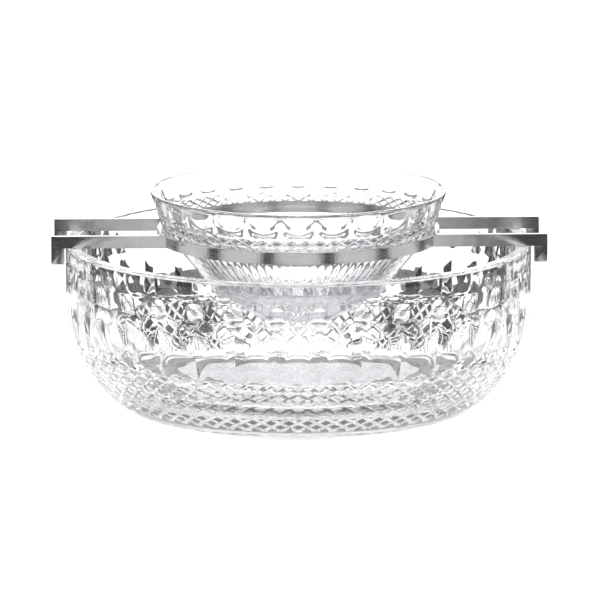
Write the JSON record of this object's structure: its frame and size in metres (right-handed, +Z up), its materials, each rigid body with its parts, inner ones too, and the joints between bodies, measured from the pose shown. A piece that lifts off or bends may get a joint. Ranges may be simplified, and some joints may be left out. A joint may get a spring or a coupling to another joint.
{
  "type": "chip and dip server",
  "caption": "Cut-crystal serving bowl with a hooked metal holder across its rim and a small cut-crystal dip bowl set in the holder's ring.",
  "frame": {"origin": "centre of the serving bowl's foot, on the surface that it stands on", "axes": "+Z up along the bowls' common axis, +X along the holder's arms"},
  "size_m": [0.2636, 0.25, 0.1214],
  "materials": {
    "crystal": "polished, clear, deeply cut",
    "silver_plate": "mirror-polished silver plate",
    "pin_metal": "dull, slightly recessed"
  },
  "bodies": {
    "serving_bowl": {"serving_bowl": "crystal"},
    "holder": {"support_ring": "silver_plate", "front_left_arm": "silver_plate", "front_right_arm": "silver_plate", "rear_left_arm": "silver_plate", "rear_right_arm": "silver_plate", "ring_pin_front_left": "pin_metal", "ring_pin_front_right": "pin_metal", "ring_pin_rear_left": "pin_metal", "ring_pin_rear_right": "pin_metal"},
    "dip_bowl": {"dip_bowl": "crystal"}
  },
  "joints": [
    {"name": "holder_lift", "type": "slide", "parent": "serving_bowl", "child": "holder", "axis": [0, 0, 1], "range_m": [0, 0.09]},
    {"name": "dip_bowl_lift", "type": "slide", "parent": "holder", "child": "dip_bowl", "axis": [0, 0, 1], "range_m": [0, 0.07]}
  ]
}
